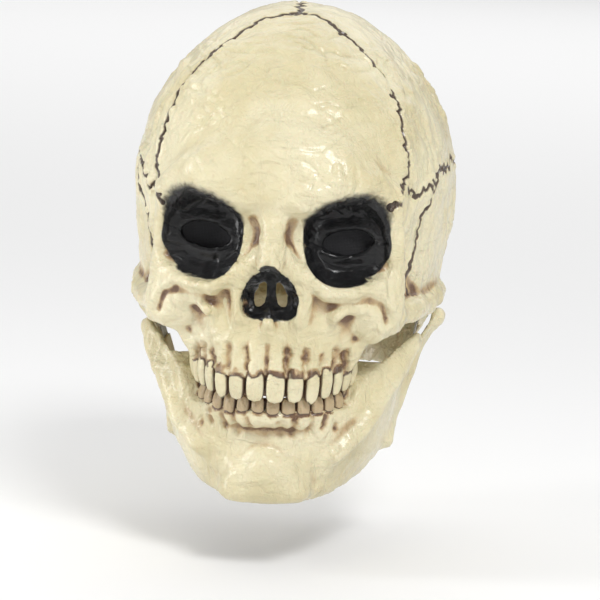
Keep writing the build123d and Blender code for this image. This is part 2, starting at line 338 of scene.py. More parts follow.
def sculpt_cranium():
    """The outside of the cranium casting."""
    clay = Clay((0, -132, -84), (92, 112, 141), GRAIN)
    clay.add(head_form(0), 0.01)
    clay.cut(outside_of(polygon_distance(RIM_SIDE)), 3)
    # The cheek is open behind the muzzle and under the arch.
    clay.cut(CHEEK_OPENING, 4)
    clay.add(muzzle_form(0, low=GUM_Z - 2), 7)
    # Cheekbones, with their buttresses up to the brow and down to the molars, and the socket's lower rim.
    clay.add(egg((50, -85, -9), (14, 11, 11), (0, 15, -25)), 8)
    clay.add(limb([(57, -84, -12), (60, -82, 8), (57, -88, 33)], (7, 5, 5.5)), 6)
    clay.add(limb([(14, -109, 8), (30, -106, -3), (46, -97, -3), (56, -87, 3)], (3.5, 4.5, 5, 5)), 5)
    clay.add(limb([(50, -86, -18), (45, -84, -27), (39, -86, -38)], (7, 5, 4)), 6)
    clay.add(limb([(44, -92, -17), (52, -88, -22), (60, -82, -21)], (4.5, 5.5, 5)), 5)
    clay.add(limb([(32, -103, -15), (38, -99, -10), (46, -95, -10)], (2.5, 3, 3)), 4)
    # The zygomatic arch, back to the ear.
    clay.add(limb([(57, -82, -14), (67, -64, -15), (74, -38, -15), (77, -4, -12)], (7.5, 6.5, 6, 6)), 5)
    # Hollows: temple, canine fossa, under the cheekbone, and the dip between cheek and nose.
    clay.cut(egg((88, -66, 16), (17, 20, 26), (0, 0, -12)), 12)
    clay.cut(egg((25, -115.5, -21), (5.5, 7, 11), (0, -14, 0)), 5)
    clay.cut(egg((37.5, -102.5, -27), (5, 7, 10), (0, 24, 0)), 5)
    clay.cut(limb([(13, -117, -18), (12, -115, -28)], (3.2, 2.4)), 4)
    clay.cut(limb([(41, -101, -17), (50, -96, -24), (55, -91, -33)], (2.4, 2.6, 2.2)), 4)
    clay.cut(limb([(47, -101, -5), (55, -95, -9), (58, -93, -17)], (1.8, 2.2, 1.6)), 4)
    clay.cut(limb([(33, -109, -7), (42, -104, -9), (49, -99, -6)], (1.6, 2.0, 1.6)), 4)
    clay.cut(egg((22, -122, 6), (6, 8, 15), (0, 14, 0)), 7)
    clay.cut(limb([(62, -74, 22), (66, -66, 4), (70, -56, -4)], (3, 3, 2.5)), 6)
    # Sockets.
    clay.cut(SOCKET_EGG, 2.5)
    # Brow, a little frowning, with the bridge of the nose under it and the forehead filled in above.
    clay.add(egg((0, -103, 59), (40, 9, 14)), 14)
    clay.add(limb([(0, -112, 44), (13, -113, 44), (30, -109, 51), (46, -99, 52), (57, -88, 45)],
                  (6, 7, 6, 5.5, 5)), 11)
    clay.add(limb([(0, -109, 36), (0, -116, 20), (0, -120, 8)], (6, 6, 6)), 6)
    clay.add(limb([(5, -110, 16), (11.5, -108, 6), (16.5, -107, -6), (15, -108, -17)], (5, 4.5, 3.2, 3)), 4)
    clay.cut(limb([(-6, -122, 38), (7, -121, 37), (13, -117, 33)], (3.6, 3, 2)), 4)
    # The nose opening: a pear with two lobes below.
    for cut in NOSE_CUTS:
        clay.cut(cut, 2.5)
    clay.add(limb([(0, -109, -24), (0, -113.5, -18), (0, -111, -13)], (4, 2.6, 2)), 3)
    # Eyelids behind the sockets' black paint.
    clay.add(egg((35.5, -85.5, 21), (17, 5.5, 11), (0, -8, 0)), 5)
    clay.cut(egg((35.5, -92, 21.5), (14.5, 7.2, 7.4), (0, -9, 0)), 1.6)
    # Roots of the upper teeth.
    for ridge in UPPER_ROOTS:
        clay.add(ridge, 1.4)
    # The back of the head and the bump behind the ear.
    clay.add(egg((0, 84, 26), (34, 17, 24)), 20)
    clay.add(limb([(66, 22, -14), (64, 27, -30)], (8, 6)), 6)
    return clay


cranium_clay = sculpt_cranium()
print("cranium grid", cranium_clay.depth.shape)

# %% [markdown]
# The jaw is sculpted the same way, from its outline seen from above and its outline seen from the side.
# A strong ridge runs from the coronoid tip down to the body, with a thin flange behind it.

# %% Sculpt the jaw
JAW_SIDE = [
    (-128, CHIN_Z), (-74, CHIN_Z + 3), (-40, -104), (-20, -95), (-8, -82), (10, -44), (14, -32),
    (11, -24), (4, -24), (-10, -38), (-22, -41), (-32, -32), (-44, -30), (-58, -37), (-72, -50),
    (-80, BED_Z + 2), (-128, BED_Z + 2),
]


def sculpt_jaw():
    """The outside of the jaw casting as a solid block, and the same block before its open edges are cut."""
    clay = Clay((0, -122, -122), (92, 24, -18), GRAIN)
    clay.add(jaw_form(0), 0.01)
    # Chin: a broad knobbly boss, flat across the bottom.
    clay.add(egg((0, -98, -101), (19, 10, 12), fullness=2.4), 9)
    clay.add(egg((15, -96, -106), (8, 8, 6)), 6)
    clay.add(egg((0, -104, -94), (7, 5, 9)), 7)
    clay.cut(egg((24, -112, -86), (10, 8, 8)), 9)
    # The gum round the lower teeth.
    gum = [(x * 0.97, y + 1.5, BED_Z - 1.0) for x, y, _, _ in LOWER_TEETH]
    gum_line = limb([(0, LOWER_TEETH[0][1] + 1.5, BED_Z - 1.0), *gum], [4.2] * 8)
    clay.add(gum_line, 4)
    # The ridge from the coronoid tip down to the body, and the flange behind it.
    clay.add(limb([(68, -42, -36), (61, -55, -48), (54, -66, -62), (47, -77, -76), (36, -90, -88)],
                  (5, 6, 5.5, 4.5, 2)), 9)
    clay.add(limb([(76, 6, -30), (68, 3, -48), (60, -8, -76), (57, -22, -91)], (4, 3.5, 3.5, 4)), 5)
    clay.cut(egg((75, -20, -64), (7, 12, 22), (24, 0, 0)), 10)
    clay.add(egg((78, 7, -28), (5, 8, 5)), 4)
    block = clay.depth.copy()
    clay.cut(outside_of(polygon_distance(JAW_SIDE, grow=0.5)), 3)
    clay.add(gum_line, 2)
    clay.cut(slab(high=CHIN_Z + 1), 2)
    return clay, block


jaw_clay, jaw_block = sculpt_jaw()
print("jaw grid", jaw_clay.depth.shape)

# %% [markdown]
# The painter's brown wash runs into every hollow. How hollow a place is can be read off the clay: blur
# the solid, and a point on the surface reads over half where the clay closes in round it, and under half
# on a ridge.

# %% Measure hollows
def blurred(solid, radius):
    """A box blur of half a symmetric grid."""
    pad = [(radius + 1, radius)] * 3
    work = np.pad(np.concatenate([solid[radius + 1:0:-1], solid]), [(0, radius), *pad[1:]], mode="edge")
    for axis in range(3):
        total = np.cumsum(work, axis=axis, dtype=np.float32)
        size = work.shape[axis]
        after = np.take(total, range(2 * radius + 1, size), axis=axis)
        before = np.take(total, range(0, size - 2 * radius - 1), axis=axis)
        work = (after - before) / (2 * radius + 1)
    return work


def sample(grid, clay, points):
    """Values of a half grid at points of the whole object, in millimetres."""
    where = np.abs(points * (1, 0, 0)) + points * (0, 1, 1)
    where = (where - clay.low) / clay.grain
    base = np.floor(where).astype(int)
    base = np.clip(base, 0, np.array(grid.shape) - 2)
    part = np.clip(where - base, 0, 1)
    value = 0
    for corner in np.ndindex(2, 2, 2):
        weight = np.prod(np.where(corner, part, 1 - part), axis=1)
        value = value + weight * grid[tuple((base + corner).T)]
    return value


def hollows(clay, radius_mm):
    """A half grid that is over 0 in a hollow and under 0 on a ridge."""
    solid = np.clip(0.5 - clay.depth / (2 * clay.grain), 0, 1)
    return blurred(solid, max(1, round(radius_mm / clay.grain))) - 0.5


# %% [markdown]
# The clay is hollowed by the form drawn in by the skin's thickness, so the wall is even, and thick only
# under ridges, as where a ladle of latex pools. Then a surface is drawn through the grid where the
# distance is nought, and relaxed a little to lose the grid's steps.

# %% Hollow and skin
NOSE_CUP = egg((0, -112, -4), (16.5, 11.6, 19))


def arch_wall(half_width, front, low, high):
    """A low wall that follows a dental arch, just behind its crowns."""

    def distance(x, y, z):
        size = ring_distance(x, y, half_width, front, -48.0, ARCH_MIDDLE)
        reach = np.sqrt(x ** 2 + (y - ARCH_MIDDLE) ** 2)
        side = abs(reach * (1 - 1 / np.maximum(size, 1e-3))) - 1.5
        return np.maximum(np.maximum(side, np.maximum(low - z, z - high)), y + 66)

    return (0, front - 4, low), (half_width + 4, -60, high), distance


# These low walls fill the gap behind the crowns, and are later painted dark brown as painted shade.
UPPER_BACKING = arch_wall(ARCH_HALF_WIDTH - 3, ARCH_FRONT + 3.5, -55.5, GUM_Z + 2)
LOWER_BACKING = arch_wall(ARCH_HALF_WIDTH - 6.2, ARCH_FRONT + 9, BED_Z - 1, -57.5)


def hollow_cranium(clay):
    """Take the wearer's space, the eye slots and the nostrils out of the cranium."""
    inside = Clay(clay.low, (92, 112, 141), clay.grain)
    inside.add(head_form(SKIN), 0.01)
    inside.cut(outside_of(polygon_distance(RIM_SIDE, grow=3.0)), 0.01)
    inside.add(muzzle_form(SKIN + 1.5, low=-70), 4)
    inside.cut(egg(SOCKET, [r + SKIN + 0.2 for r in SOCKET_RADII], (0, -10, 4), fullness=2.5), 1)
    inside.cut(NOSE_CUP, 1)
    # Deep hollows keep a wall behind them, except at the open edges.
    at_rim = polygon_distance(RIM_SIDE, grow=-SKIN - 1)[2](clay.x, clay.y, clay.z) > 0
    at_cheek = CHEEK_OPENING[2](clay.x, clay.y, clay.z) < SKIN + 2
    walled = np.maximum(inside.depth, clay.depth + SKIN)
    inside.depth = np.where(at_rim | at_cheek, inside.depth, walled)
    np.maximum(clay.depth, -inside.depth, out=clay.depth)
    clay.cut(EYE_HOLE, 1)
    clay.cut(NOSTRIL, 1)
    clay.add(UPPER_BACKING, 1)


def hollow_jaw(clay, block):
    """Take the wearer's chin out of the jaw, leaving the shelf that carries the lower teeth."""
    inside = Clay(clay.low, (92, 24, -18), clay.grain)
    inside.add(jaw_form(SKIN), 0.01)
    inside.depth = np.maximum(inside.depth, block + SKIN)
    mouth = egg((0, -62, -66), (ARCH_HALF_WIDTH - 9, 42, 30), fullness=2.3)[2]

    def bed(x, y, z):
        return np.maximum(np.maximum(BED_Z - SKIN - z, y + 64), -mouth(x, y, z))

    inside.cut((*EVERYWHERE, bed), 1)
    np.maximum(clay.depth, -inside.depth, out=clay.depth)
    clay.add(LOWER_BACKING, 1)
    return inside


def skinned(clay, relax=3):
    """Points in millimetres and quads of the clay's surface, both halves."""
    near = np.clip(clay.depth, -3 * clay.grain, 3 * clay.grain)
    whole = np.concatenate([near[:0:-1], near])
    grid = openvdb.FloatGrid(float(3 * clay.grain))
    grid.copyFromArray(np.ascontiguousarray(whole))
    points, quads = grid.convertToQuads()
    points = points * clay.grain + (-(near.shape[0] - 1) * clay.grain, clay.low[1], clay.low[2])
    edges = np.concatenate([quads[:, [0, 1]], quads[:, [1, 2]], quads[:, [2, 3]], quads[:, [3, 0]]])
    count = np.bincount(edges[:, 0], minlength=len(points))
    for _ in range(relax):
        average = np.stack(
            [np.bincount(edges[:, 0], points[edges[:, 1], axis], len(points)) for axis in range(3)], axis=1
        )
        points = 0.5 * points + 0.5 * average / np.maximum(count, 1)[:, None]
    corners = points[quads]
    volume = (corners[:, 0] * np.cross(corners[:, 1], corners[:, 2])).sum()
    return points, quads if volume > 0 else quads[:, ::-1]


def new_piece(name, points, faces):
    """A smooth-shaded mesh object from points in millimetres."""
    mesh = bpy.data.meshes.new(name)
    mesh.from_pydata((np.asarray(points) * MM).tolist(), [], [tuple(int(i) for i in face) for face in faces])
    mesh.shade_smooth()
    piece = bpy.data.objects.new(name, mesh)
    bpy.context.collection.objects.link(piece)
    return piece


def mesh_points(mesh):
    """A mesh's points in millimetres."""
    values = np.empty(len(mesh.vertices) * 3, dtype=np.float32)
    mesh.vertices.foreach_get("co", values)
    return values.reshape(-1, 3).astype(float) / MM


def mesh_normals(mesh):
    """A mesh's normals."""
    values = np.empty(len(mesh.vertices) * 3, dtype=np.float32)
    mesh.vertex_normals.foreach_get("vector", values)
    return values.reshape(-1, 3).astype(float)


def move_points(mesh, points):
    """Put a mesh's points at new places, in millimetres."""
    mesh.vertices.foreach_set("co", (points * MM).astype(np.float32).ravel())
    mesh.update()


def paint(mesh, name, values):
    """Keep one number per point, for a material to read."""
    mesh.attributes.new(name, "FLOAT", "POINT").data.foreach_set("value", np.asarray(values, dtype=np.float32))


def step(values, low, high):
    """0 below low, 1 above high, and a smooth slope between."""
    t = np.clip((values - low) / (high - low), 0, 1)
    return t * t * (3 - 2 * t)


cranium_hollows = [hollows(cranium_clay, radius) for radius in (2.5, 7)]
hollow_cranium(cranium_clay)
cranium_skin = new_piece("cranium_skin", *skinned(cranium_clay))
jaw_hollows = [hollows(jaw_clay, radius) for radius in (2.5, 7)]
chin_space = hollow_jaw(jaw_clay, jaw_block)
jaw_skin = new_piece("jaw_skin", *skinned(jaw_clay))
print("faces", len(cranium_skin.data.polygons), len(jaw_skin.data.polygons))

# %% [markdown]
# The sculptor scratched the skull's sutures into the clay as wandering lines, and the painter ran brown
# into them. Each line here is a short list of places on the head. It is walked in small steps that are
# dropped onto the nearest surface and jittered, and the mesh is made finer along it so that the scratch
# is a real groove.

# %% Sutures
SUTURES = [
    [(0, -28, 128), (14, -34, 126), (30, -44, 118), (44, -54, 102), (54, -60, 84), (58, -68, 68),
     (61, -74, 56), (60, -84, 46), (56, -92, 38)],
    [(60, -77, 47), (67, -68, 44), (73, -54, 47), (76, -42, 54), (82, -10, 57), (83, 34, 52),
     (76, 62, 34), (68, 72, 6), (62, 66, -22)],
    [(76, -40, 51), (72, -54, 34), (68, -62, 14), (67, -62, -4)],
    [(0, 98, 66), (24, 94, 54), (48, 82, 38), (66, 70, 20)],
]
MIDLINE_SUTURE = [(0, -28, 128), (0, -6, 134), (0, 30, 130), (0, 66, 110), (0, 92, 80), (0, 98, 66)]


def walk(corners, stride):
    """Evenly spaced points along straight runs."""
    points = []
    for a, b in zip(corners, corners[1:]):
        a, b = Vector(a), Vector(b)
        count = max(1, int((b - a).length / stride))
        points += [a.lerp(b, i / count) for i in range(count)]
    return points + [Vector(corners[-1])]


def surface_tree(points):
    """A search tree over points."""
    tree = KDTree(len(points))
    for index, point in enumerate(points):
        tree.insert(point, index)
    tree.balance()
    return tree


def dropped(points, lines, middle_line=None, sway=5.0, wiggle=3.4):
    """Lines on both sides as closely spaced points on the surface."""
    tree = surface_tree(points)
    lines = [(line, side) for line in lines for side in (1, -1)]
    if middle_line:
        lines.append((middle_line, 1))
    places = []
    for number, (line, side) in enumerate(lines):
        trail = []
        for place in walk([(side * x, y, z) for x, y, z in line], 1.6):
            wander = noise.noise_vector(place * 0.045 + Vector((number * 7.1, 0, 0))) * sway
            shake = noise.noise_vector(place * 0.36 + Vector((0, number * 3.7, 0))) * wiggle
            trail.append(tree.find(place + wander + shake)[0])
        for a, b in zip(trail, trail[1:]):
            if (b - a).length < 25:
                places += [a.lerp(b, i / 6) for i in range(6)]
    return surface_tree(places)


def distance_to(tree, points):
    """Distance from each point to the nearest one in a tree."""
    return np.array([tree.find(point)[2] for point in points])


def refine(mesh, chosen, cuts):
    """Divide the faces round the chosen points."""
    work = bmesh.new()
    work.from_mesh(mesh)
    faces = {face for vert, keep in zip(work.verts, chosen) if keep for face in vert.link_faces}
    edges = {edge for face in faces for edge in face.edges}
    bmesh.ops.subdivide_edges(work, edges=list(edges), cuts=cuts, use_grid_fill=True, smooth=0.6)
    bmesh.ops.recalc_face_normals(work, faces=work.faces)
    work.to_mesh(mesh)
    work.free()
    mesh.shade_smooth()


def outward(mesh):
    """Which points of the head face away from its middle, and so aren't on the inside of the skin."""
    points = mesh_points(mesh)
    return ((points - (0, 0, 30)) * mesh_normals(mesh)).sum(axis=1) > 0


def shape_distance(shapes, points):
    """Distance of points outside the nearest of some shapes that are on the +x side."""
    return np.minimum.reduce([shape[2](np.abs(points[:, 0]), points[:, 1], points[:, 2]) for shape in shapes])


def fine_lines(mesh, seams, roots, edges, clay, grids):
    """Make the mesh finer along its lines, note its hollows, cut the lines in, and return the gaps to them."""
    points = mesh_points(mesh)
    near = (distance_to(seams, points) < 2.8) | (distance_to(roots, points) < 2.0)
    near |= np.abs(shape_distance(edges, points) - 0.8) < 1.8
    refine(mesh, near & outward(mesh), 2)
    points = mesh_points(mesh)
    facing = outward(mesh)
    for name, grid in zip(("hollow", "broad_hollow"), grids):
        paint(mesh, name, sample(grid, clay, points) * facing)
    gap = distance_to(seams, points) + 9 * (1 - facing)
    root_gap = distance_to(roots, points) + 9 * (1 - facing)
    depth = 1.15 * np.exp(-(gap / 1.0) ** 2) - 0.35 * np.exp(-((gap - 2.3) / 0.9) ** 2)
    depth += 1.1 * np.exp(-(root_gap / 1.5) ** 2) - 0.5 * np.exp(-((root_gap - 3.6) / 1.3) ** 2)
    move_points(mesh, points - mesh_normals(mesh) * depth[:, None])
    return gap, root_gap


def outer_points(mesh):
    """The points of a skin that face out."""
    return mesh_points(mesh)[outward(mesh)]


sutures = dropped(outer_points(cranium_skin.data), SUTURES, MIDLINE_SUTURE)
upper_lines = dropped(outer_points(cranium_skin.data), UPPER_LINES, sway=1.5, wiggle=2.0)
lower_lines = dropped(outer_points(jaw_skin.data), LOWER_LINES, sway=1.5, wiggle=2.0)
suture_gap, upper_gap = fine_lines(
    cranium_skin.data, sutures, upper_lines, [SOCKET_EGG, *NOSE_CUTS], cranium_clay, cranium_hollows
)
lower_gap = fine_lines(jaw_skin.data, sutures, lower_lines, [NOSTRIL], jaw_clay, jaw_hollows)[1]
print("points", len(upper_gap), len(lower_gap))

# %% [markdown]
# Poured latex shrinks as it cures, and the skin creases: fine level wrinkles on the forehead, upright
# folds at the temples, and a lumpy hand-modelled surface everywhere. They are small moves of the real
# surface. Finer ones are left to the material.

# %% Wrinkle the skins
def wrinkled(mesh, depth):
    """Move points in and out by broken, layered noise, level on the front and upright at the sides."""
    points, normals = mesh_points(mesh), mesh_normals(mesh)
    push = np.empty(len(points))
    for index, (x, y, z) in enumerate(points):
        place = Vector((x, y, z))
        bend = noise.noise_vector(place * 0.03) * 14
        x, y, z = place + bend
        sideways = min(abs(x) / 62, 1) ** 2
        level = noise.noise(Vector((x * 0.045, y * 0.045, z * 0.17)))
        upright = noise.noise(Vector((x * 0.15, y * 0.15, z * 0.04)))
        fine = noise.noise(Vector((x * 0.3, y * 0.3, z * 0.3)))
        lumps = noise.noise(place * 0.055)
        patchy = max(0.55 + noise.noise(place * 0.025), 0.12)
        folds = level * (1 - sideways) * 0.7 + upright * sideways * 1.9
        crease = max(0, 1 - abs(noise.noise(Vector((x * 0.07, y * 0.07, z * 0.10)))) * 9)
        push[index] = (folds * 1.3 - crease * 0.8) * patchy + lumps * 1.2 + fine * 0.3
    move_points(mesh, points + normals * (push * depth)[:, None])


wrinkled(cranium_skin.data, 1.0)
wrinkled(jaw_skin.data, 0.8)

# %% [markdown]
# Each tooth crown is a rounded block whose width, depth and edge change from gum to bite. They are made
# finer than the skins and sunk into the gum, as one piece for each arch. A real casting has them moulded
# in, so they take the same latex finish.

# %% Teeth
def tooth(place, side, gum, bite, depth, pointed, seed):
    """Points, faces and stain of one tooth crown."""
    x, y, heading, width = place
    heading = heading * side + 0.11 * noise.noise(Vector((seed * 1.3, 0.2, 9)))
    rows, columns = ((17, 28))
    points, stains = [], []
    squeeze = 1 + 0.11 * noise.noise(Vector((seed * 3.3, 1.7, 0)))
    shift = noise.noise(Vector((0.4, seed * 2.1, 3))) * 1.7
    for row in range(rows):
        rise = -1 + 2 * row / (rows - 1)
        level = math.copysign(abs(rise) ** 0.8, rise)
        cap = (1 - abs(level) ** 3.3) ** (1 / 3.3)
        belly = 1 - 0.10 * max(level, 0) ** 2 - 0.04 * abs(level)
        for column in range(columns):
            turn = 2 * math.pi * column / columns
            across = math.copysign(abs(math.sin(turn)) ** 0.72, math.sin(turn))
            forward = math.copysign(abs(math.cos(turn)) ** 0.8, math.cos(turn))
            thin = 1 - 0.42 * max(-level, 0)
            local_x = across * width * 0.48 * squeeze * cap * belly
            local_y = -forward * depth * 0.5 * cap * thin
            peak = pointed * (1 - min(abs(across) * 1.2, 1)) * max(-level, 0) ** 3
            middle, half = (gum + bite) / 2, (gum - bite) / 2
            scale = 1 if gum > bite else -1
            local_z = middle + level * half + scale * (-peak) + (shift if level < 0 else 0) * scale * 0.6
            cos, sin = math.cos(heading), math.sin(heading)
            points.append((side * x + local_x * cos - local_y * sin, y + local_x * sin + local_y * cos, local_z))
            edge = abs(across) ** 7
            stains.append(edge)
    faces = []
    for row in range(rows - 1):
        for column in range(columns):
            after = (column + 1) % columns
            a, b = row * columns + column, row * columns + after
            faces.append((a, b, b + columns, a + columns))
    return points, faces, stains


def tooth_row(name, places, gums, bites, depth):
    """All the crowns of one arch as one piece."""
    points, faces, stains = [], [], []
    seed = 1 if gums[0] > bites[0] else 31
    for side in (-1, 1):
        for number, place in enumerate(places):
            gum = np.interp(number, range(len(gums)), gums)
            bite = np.interp(number, range(len(bites)), bites)
            pointed = 1.6 if number == 2 else 0.3
            more, quads, marks = tooth(place, side, gum, bite, depth + 0.35 * number, pointed, seed)
            faces += [[index + len(points) for index in quad] for quad in quads]
            points += more
            stains += marks
            seed += 1
    piece = new_piece(name, points, faces)
    work = bmesh.new()
    work.from_mesh(piece.data)
    bmesh.ops.remove_doubles(work, verts=work.verts, dist=0.00005)
    bmesh.ops.recalc_face_normals(work, faces=work.faces)
    work.to_mesh(piece.data)
    work.free()
    piece.data.shade_smooth()
    return piece, np.array(points), stains


UPPER_GUMS, UPPER_BITES = (-41, -40, -40.5, -40, -39.5, -39, -38), (-58.2, -57.8, -58, -56.8, -56, -55, -54)
LOWER_GUMS, LOWER_BITES = (-67, -67, -67, -66.5, -66, -65.5, -65), (-56, -56, -56, -56, -55.5, -55, -54)
upper_teeth, upper_points, upper_stains = tooth_row("upper_teeth", UPPER_TEETH, UPPER_GUMS, UPPER_BITES, 5.8)
lower_teeth, lower_points, lower_stains = tooth_row("lower_teeth", LOWER_TEETH, LOWER_GUMS, LOWER_BITES, 5.6)
print("teeth", 2 * len(UPPER_TEETH), 2 * len(LOWER_TEETH))

# %% [markdown]
# Behind each eye hole a piece of black gauze is glued to the latex, so the wearer sees out and nobody
# sees in. It takes the curve of the socket's back, so its depth is found from the same egg as the socket.

# %% Eye gauze
def eye_gauze(side, name):
    """An oval of gauze against the back of one socket."""
    rings, spokes = ((14, 72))
    back_of_socket = egg(SOCKET, [radius + SKIN + 0.7 for radius in SOCKET_RADII], (0, -10, 4), fullness=2.5)[2]
    depths = np.linspace(-95, -79, 161)
    points = []
    for ring in range(rings + 1):
        for spoke in range(spokes if ring else 1):
            turn = 2 * math.pi * spoke / spokes
            x, z = 36 + 18 * ring / rings * math.cos(turn), 21 + 11.5 * ring / rings * math.sin(turn)
            gaps = back_of_socket(np.full(161, x), depths, np.full(161, z))
            points.append((side * x, depths[int(np.argmax(gaps > 0))] if gaps.max() > 0 else -82, z))
    faces = []
    for spoke in range(spokes):
        after = (spoke + 1) % spokes
        faces.append((0, 1 + spoke, 1 + after))
        for ring in range(rings - 1):
            low, high = 1 + ring * spokes, 1 + (ring + 1) * spokes
            faces.append((low + spoke, high + spoke, high + after, low + after))
    piece = new_piece(name, points, faces)
    thicken(piece, 0.4)
    return piece


def thicken(piece, thickness):
    """Give a surface a thickness, in millimetres, for good."""
    solid = piece.modifiers.new("thickness", "SOLIDIFY")
    solid.thickness, solid.offset = thickness * MM, 0
    made = bpy.data.meshes.new_from_object(piece.evaluated_get(bpy.context.evaluated_depsgraph_get()))
    piece.modifiers.clear()
    piece.data = made
    made.shade_smooth()


gauzes = {side: eye_gauze(sign, f"eye_gauze_{side}") for sign, side in ((1, "left"), (-1, "right"))}
print("gauze points", len(gauzes["left"].data.vertices))

# %% [markdown]
# The castings are joined by two short lengths of ribbed elastic. Each runs down the inside of a cheek,
# from a latex patch in the cranium to one in the jaw, and pulls the jaw shut. The ribs are the rubber
# cords in the weave, so they are modelled as rounded ridges along the strap.

# %% Elastic straps and latex patches
STRAP_PATH = ((74.3, -10), (69.3, -30), (67.8, -40), (65.0, -48), (62.4, -56))
STRAP_Y, STRAP_WIDTH, STRAP_THICK = -4.0, 16.0, 1.2


def strap_face(z):
    """How far out the strap's outer face is at a height, with its bends eased."""
    heights, places = [p[1] for p in STRAP_PATH[::-1]], [p[0] for p in STRAP_PATH[::-1]]
    return np.mean([np.interp(z + shift, heights, places) for shift in (-2, -1, 0, 1, 2)])


def elastic_strap(side, name):
    """One strap as a closed band, ribbed along its length."""
    rows, columns = ((90, 96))
    points = []
    for row in range(rows + 1):
        z = STRAP_PATH[0][1] + (STRAP_PATH[-1][1] - STRAP_PATH[0][1]) * row / rows
        for column in range(columns):
            turn = 2 * math.pi * column / columns
            across = math.copysign(abs(math.cos(turn)) ** 0.35, math.cos(turn))
            out = math.copysign(abs(math.sin(turn)) ** 0.35, math.sin(turn))
            rib = 0.13 * math.cos(across * math.pi * 8) + 0.04 * math.sin(row * 2.1)
            x = strap_face(z) - STRAP_THICK / 2 + out * (STRAP_THICK / 2 - 0.15 + rib * abs(out))
            points.append((side * x, STRAP_Y + across * STRAP_WIDTH / 2, z))
    faces = []
    for row in range(rows):
        for column in range(columns):
            a, b = row * columns + column, row * columns + (column + 1) % columns
            faces.append((a, b, b + columns, a + columns)[::side])
    last = rows * columns
    faces.append([*range(columns)][::-side])
    faces.append([last + column for column in range(columns)][::side])
    return new_piece(name, points, faces)


def latex_patch(side, name, skin, high, low):
    """A thin patch glued over a strap's end, pressed down to the wall round it."""
    rows, columns = ((40, 64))
    shell = skin.data
    wall = BVHTree.FromPolygons(mesh_points(shell).tolist(), [tuple(face.vertices) for face in shell.polygons])
    grid = np.empty((rows + 1, columns + 1, 3))
    for row in range(rows + 1):
        for column in range(columns + 1):
            across, down = 2 * column / columns - 1, 2 * row / rows - 1
            corner = 1 - 0.10 * (abs(across) * abs(down)) ** 4
            y = STRAP_Y + across * corner * 10
            z = (high + low) / 2 - down * corner * (high - low) / 2
            hit = wall.ray_cast(Vector((side * 45, y, z)), Vector((side, 0, 0)))[0]
            at_wall = abs(hit.x) if hit else strap_face(z) + 1
            over_strap = (1 - step(abs(y - STRAP_Y), 7.9, 9.4)) * (z > STRAP_PATH[-1][1] - 0.5)
            x = (at_wall - 0.5) * (1 - over_strap) + (strap_face(z) - STRAP_THICK - 0.5) * over_strap
            grid[row, column] = side * x, y, z
    for _ in range(2):
        grid[1:-1, 1:-1] = (grid[:-2, 1:-1] + grid[2:, 1:-1] + grid[1:-1, :-2] + grid[1:-1, 2:]) / 4
    width = columns + 1
    faces = [
        (row * width + column, row * width + column + 1, (row + 1) * width + column + 1, (row + 1) * width + column)
        for row in range(rows) for column in range(columns)
    ]
    piece = new_piece(name, grid.reshape(-1, 3), faces)
    thicken(piece, 0.8)
    return piece


straps, patches = {}, {}
for sign, side in ((1, "left"), (-1, "right")):
    straps[side] = elastic_strap(sign, f"elastic_strap_{side}")
    patches["upper", side] = latex_patch(sign, f"latex_patch_upper_{side}", cranium_skin, -8.5, -23)
    patches["lower", side] = latex_patch(sign, f"latex_patch_lower_{side}", jaw_skin, -45, -58)
print("strap faces", len(straps["left"].data.polygons), "patches", len(patches))

# %% [markdown]
# A block of soft foam is glued in the hollow of the chin. It is cut by hand, so its corners are round
# and its faces bulge a little, and it fits the latex in front of it.

# %% Foam chin pad
def foam_pad():
    """A bulging block, trimmed to the jaw's inner wall."""
    clay = Clay(jaw_clay.low, (92, 24, -18), GRAIN)
    clay.add(egg((0, -96, -94), (21, 8.8, 10.5), fullness=5), 0.01)
    clay.depth = np.maximum(clay.depth, chin_space.depth + 0.9)
    return new_piece("foam_chin_pad", *skinned(clay, relax=4))


chin_foam = foam_pad()
print("foam faces", len(chin_foam.data.polygons))

# %% [markdown]
# Paint is kept as numbers on the points: how hollow a place is, how near a suture or a tooth, how deep in
# a socket. The black was airbrushed from below, so its upper edge is soft and its lower edge is crisp.

# %% Paint the skins
def gap_to(piece, points, reach=3.0):
    """Distance from each point to a piece's surface, and reach where it is further."""
    shell = piece.data
    tree = BVHTree.FromPolygons(mesh_points(shell).tolist(), [tuple(face.vertices) for face in shell.polygons])
    found = [tree.find_nearest(point, reach)[3] for point in points.tolist()]
    return np.array([reach if gap is None else gap for gap in found])


def paint_skin(mesh, root_gap, teeth, backing):
    """The brown wash between the roots and round the gum, and painted shade on the walls behind the crowns."""
    points, facing = mesh_points(mesh), outward(mesh)
    near = (points[:, 1] < -60) & (np.abs(points[:, 2] + 54) < 22)
    gum_gap = np.full(len(points), 3.0)
    gum_gap[near] = gap_to(teeth, points[near])
    uneven = np.array([noise.noise(Vector(point) * 0.16) for point in points]) + 0.62
    stain = 1.15 * uneven * np.exp(-(root_gap / 1.7) ** 2)
    stain = np.maximum(stain, 1.3 * (1 - step(gum_gap, 0.2, 1.1)))
    # Painted shade: the low walls behind the crowns get the darkest brown, for the dark of the mouth behind the teeth.
    behind = 1 - step(shape_distance([backing], points), 0.3, 1.0)
    paint(mesh, "wash_and_shade", np.maximum(stain * facing, 1.5 * behind))
    return points


